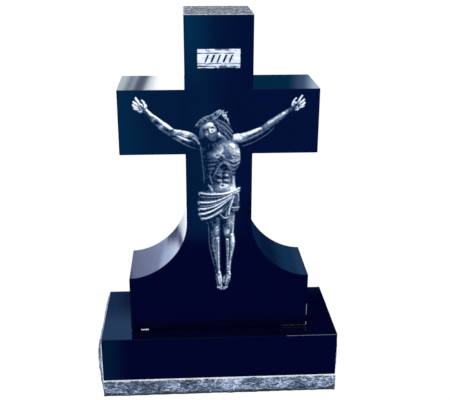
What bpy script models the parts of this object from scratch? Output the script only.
"""Cross headstone of polished black granite: a cross cut in one stone with a flared foot,
bedded on four thin shims on a base stone whose ends and lower strips are rock-pitched.

Metres, +Z up. The front looks along -Y. The origin is the middle of the base's underside.
"""

import math

import bmesh
import bpy
import numpy as np

# Base stone, measured between its polished faces and its sawn bed
BASE_WIDTH = 0.914
BASE_DEPTH = 0.410
BASE_HEIGHT = 0.246

# Rock-pitched strip along the foot of the front and the back
STRIP_HEIGHT = 0.066
STRIP_PROUD = 0.014
STRIP_SHOULDER = 0.008

# Rock-pitched ends
END_BULGE = 0.022
LEFT_END_RUN_IN = 0.030
RIGHT_END_RUN_IN = 0.110
END_TOP_RUN_IN = 0.045
END_FOOT_RUN_IN = 0.140

# Lumps of the split stone
LUMP_LENGTH = 0.110
LUMP_SHARE = 0.30
FACET_SIZE = 0.030

# Cross stone
CROSS_HEIGHT = 1.2074
CROSS_THICKNESS = 0.270
SHAFT_WIDTH = 0.242
ARM_SPAN = 0.7188
ARM_DEPTH = 0.236
HEAD_LENGTH = 0.259
FOOT_WIDTH = 0.690
FOOT_HEIGHT = 0.2200
FLARE_FLATNESS = 1.09  # 1 makes each flare a quarter round, and more cuts it less deep
ARRIS = 0.0025
FLARE_STEPS = 24

# Setting shims under the four corners of the cross
SHIM_LENGTH = 0.030
SHIM_DEPTH = 0.025
SHIM_THICKNESS = 0.0036
SHIM_SIDE_INSET = 0.038
FRONT_SHIM_SETBACK = 0.0015
HIDDEN_SHIM_SETBACK = 0.018
SEAT_GAP = 0.0003

# Colours and gloss of the finishes, as seen in daylight
POLISHED_GRANITE = dict(colour=(0.006, 0.009, 0.045), roughness=0.06)
PITCHED_GRANITE = dict(colour=(0.17, 0.19, 0.25), roughness=0.55)
SAWN_GRANITE = dict(colour=(0.20, 0.21, 0.22), roughness=0.70)
WHITE_SHIM = dict(colour=(0.82, 0.82, 0.84), roughness=0.5)


def clear_scene():
    """Removes every object, so that the script can run again in an open file."""
    for thing in list(bpy.data.objects):
        bpy.data.objects.remove(thing)


def finish(name, colour, roughness, metallic=0.0):
    """A Principled material with one plain colour."""
    material = bpy.data.materials.new(name)
    material.use_nodes = True
    shader = material.node_tree.nodes["Principled BSDF"]
    shader.inputs["Base Color"].default_value = (*colour, 1.0)
    shader.inputs["Roughness"].default_value = roughness
    shader.inputs["Metallic"].default_value = metallic
    return material


def add_object(name, mesh_data, *materials):
    """Turns a bmesh into a named object, smooth across its curved faces."""
    mesh = bpy.data.meshes.new(name)
    mesh_data.to_mesh(mesh)
    mesh_data.free()
    mesh.shade_smooth()
    mesh.set_sharp_from_angle(angle=math.radians(20))
    for material in materials:
        mesh.materials.append(material)
    thing = bpy.data.objects.new(name, mesh)
    bpy.context.collection.objects.link(thing)
    return thing


def run_in(distance, reach):
    """0 on an arris, rising quickly and then gently to 1 at the given reach from it."""
    share = np.clip(distance / reach, 0.0, 1.0)
    return 1.0 - (1.0 - share) ** 2


def lumps(a, b, turn):
    """Split stone's hollows and swells, from 0 to 1: five crossed waves, each finer and lower."""
    total = 0.0
    weights = 0.0
    for octave in range(5):
        angle = turn + 2.4 * octave
        pitch = 2.0 * math.pi * 1.55**octave / LUMP_LENGTH
        weight = 0.72**octave
        total = total + weight * np.sin(pitch * (a * math.cos(angle) + b * math.sin(angle)) + 7.0 * angle)
        weights += weight
    return 0.5 + 0.5 * total / weights


def end_relief(y, z, front_run_in, turn):
    """How far an end swells out past its pitch lines, at a depth y and a height z."""
    from_front = y + BASE_DEPTH / 2
    from_back = BASE_DEPTH / 2 - y
    rim = run_in(from_front, front_run_in) * run_in(from_back, LEFT_END_RUN_IN)
    rim = rim * run_in(BASE_HEIGHT - z, END_TOP_RUN_IN) * (0.15 + 0.85 * run_in(z, END_FOOT_RUN_IN))
    relief = rim * (1.0 - LUMP_SHARE * lumps(y, z, turn))
    return END_BULGE * relief / relief.max()


def strip_relief(x, z, turn):
    """How far the strip stands out from the polished face: nothing at its pitch line."""
    shoulder = run_in(STRIP_HEIGHT - z, STRIP_SHOULDER)
    under = 0.80 + 0.20 * run_in(z, STRIP_HEIGHT / 2)
    relief = shoulder * under * (1.0 - LUMP_SHARE * lumps(x, z, turn))
    return STRIP_PROUD * relief / relief.max()


def levels(low, high, step):
    """Evenly spaced places from low to high, about a step apart, both ends included."""
    return np.linspace(low, high, max(2, round((high - low) / step) + 1))


def lattice_box(xs, ys, zs):
    """A closed box whose six sides are grids, as (bmesh, vertices by their lattice place)."""
    box = bmesh.new()
    last = (len(xs) - 1, len(ys) - 1, len(zs) - 1)
    points = {}
    for i, x in enumerate(xs):
        for j, y in enumerate(ys):
            for k, z in enumerate(zs):
                if i in (0, last[0]) or j in (0, last[1]) or k in (0, last[2]):
                    points[i, j, k] = box.verts.new((x, y, z))
    for across, first, second in ((0, 1, 2), (1, 2, 0), (2, 0, 1)):
        for side in (0, last[across]):
            for m in range(last[first]):
                for n in range(last[second]):
                    corners = []
                    for step_m, step_n in ((0, 0), (1, 0), (1, 1), (0, 1)):
                        place = [0, 0, 0]
                        place[across] = side
                        place[first] = m + step_m
                        place[second] = n + step_n
                        corners.append(points[tuple(place)])
                    box.faces.new(corners if side else corners[::-1])
    return box, points


def is_pitched(face):
    """True for a face of the plain box that is split stone: both ends and both strips."""
    in_strip = abs(face.normal.y) > 0.5 and face.calc_center_median().z < STRIP_HEIGHT
    return abs(face.normal.x) > 0.5 or in_strip


def base_stone(polished, pitched):
    """The base: polished top and panels, rock-pitched ends and lower strips."""
    xs = levels(-BASE_WIDTH / 2, BASE_WIDTH / 2, FACET_SIZE)
    ys = levels(-BASE_DEPTH / 2, BASE_DEPTH / 2, FACET_SIZE)
    strip = levels(0.0, STRIP_HEIGHT - STRIP_SHOULDER, FACET_SIZE / 2)
    panel = levels(STRIP_HEIGHT, BASE_HEIGHT, FACET_SIZE)
    zs = np.concatenate([strip, panel])
    box, points = lattice_box(xs, ys, zs)
    box.normal_update()
    for face in box.faces:
        face.material_index = int(is_pitched(face))
    left = end_relief(ys[:, None], zs[None, :], LEFT_END_RUN_IN, 0.4)
    right = end_relief(ys[:, None], zs[None, :], RIGHT_END_RUN_IN, 3.1)
    front = strip_relief(xs[:, None], zs[None, :], 1.3)
    back = strip_relief(xs[:, None], zs[None, :], 4.6)
    for (i, j, k), vertex in points.items():
        if i == 0:
            vertex.co.x -= left[j, k]
        if i == len(xs) - 1:
            vertex.co.x += right[j, k]
        if j == 0:
            vertex.co.y -= front[i, k]
        if j == len(ys) - 1:
            vertex.co.y += back[i, k]
    bmesh.ops.dissolve_limit(
        box,
        angle_limit=math.radians(0.2),
        verts=box.verts[:],
        edges=box.edges[:],
        delimit={"MATERIAL"},
    )
    bmesh.ops.recalc_face_normals(box, faces=box.faces[:])
    return add_object("base", box, polished, pitched)


def right_half_outline():
    """The right half of the cross's outline as (x, z), from the foot up to the top."""
    half_shaft = SHAFT_WIDTH / 2
    half_foot = FOOT_WIDTH / 2
    half_span = ARM_SPAN / 2
    flare = half_foot - half_shaft
    arm_top = CROSS_HEIGHT - HEAD_LENGTH
    outline = [(half_foot, 0.0)]
    for step in range(FLARE_STEPS + 1):
        angle = math.pi / 2 * step / FLARE_STEPS
        x = half_foot - flare * math.sin(angle) ** FLARE_FLATNESS
        z = FOOT_HEIGHT + flare * (1.0 - math.cos(angle) ** FLARE_FLATNESS)
        outline.append((x, z))
    outline.append((half_shaft, arm_top - ARM_DEPTH))
    outline.append((half_span, arm_top - ARM_DEPTH))
    outline.append((half_span, arm_top))
    outline.append((half_shaft, arm_top))
    outline.append((half_shaft, CROSS_HEIGHT))
    return outline


def cross_stone(polished, sawn):
    """The cross: one slab with two hollow flares, eased arrises and a sawn top."""
    right = right_half_outline()
    left = [(-x, z) for x, z in reversed(right)]
    slab = bmesh.new()
    front_y = -CROSS_THICKNESS / 2
    face = slab.faces.new([slab.verts.new((x, front_y, z)) for x, z in right + left])
    grown = bmesh.ops.extrude_face_region(slab, geom=[face])["geom"]
    moved = [part for part in grown if isinstance(part, bmesh.types.BMVert)]
    bmesh.ops.translate(slab, verts=moved, vec=(0.0, CROSS_THICKNESS, 0.0))
    bmesh.ops.recalc_face_normals(slab, faces=slab.faces[:])
    top = max(slab.faces, key=lambda side: side.calc_center_median().z)
    top.material_index = 1
    cross = add_object("cross", slab, polished, sawn)
    cross.location.z = BASE_HEIGHT + SHIM_THICKNESS + 2 * SEAT_GAP
    eased = cross.modifiers.new("eased arrises", "BEVEL")
    eased.width = ARRIS
    eased.segments = 1
    eased.limit_method = "ANGLE"
    eased.angle_limit = math.radians(30)
    return cross


def shim(name, side, row, setback, material):
    """One setting shim; side is -1 left or 1 right, row is -1 front or 1 back."""
    slip = bmesh.new()
    bmesh.ops.create_cube(slip, size=1.0)
    bmesh.ops.scale(slip, vec=(SHIM_LENGTH, SHIM_DEPTH, SHIM_THICKNESS), verts=slip.verts[:])
    piece = add_object(name, slip, material)
    piece.location.x = side * (FOOT_WIDTH / 2 - SHIM_SIDE_INSET - SHIM_LENGTH / 2)
    piece.location.y = row * (CROSS_THICKNESS / 2 - setback - SHIM_DEPTH / 2)
    piece.location.z = BASE_HEIGHT + SEAT_GAP + SHIM_THICKNESS / 2
    return piece


def headstone():
    """Builds every piece of the headstone in its place."""
    clear_scene()
    polished = finish("polished granite", **POLISHED_GRANITE)
    pitched = finish("rock-pitched granite", **PITCHED_GRANITE)
    sawn = finish("sawn granite", **SAWN_GRANITE)
    white = finish("white shim", **WHITE_SHIM)
    base_stone(polished, pitched)
    cross_stone(polished, sawn)
    shim("shim_front_left", -1, -1, FRONT_SHIM_SETBACK, white)
    shim("shim_front_right", 1, -1, HIDDEN_SHIM_SETBACK, white)
    shim("shim_back_left", -1, 1, HIDDEN_SHIM_SETBACK, white)
    shim("shim_back_right", 1, 1, HIDDEN_SHIM_SETBACK, white)


headstone()
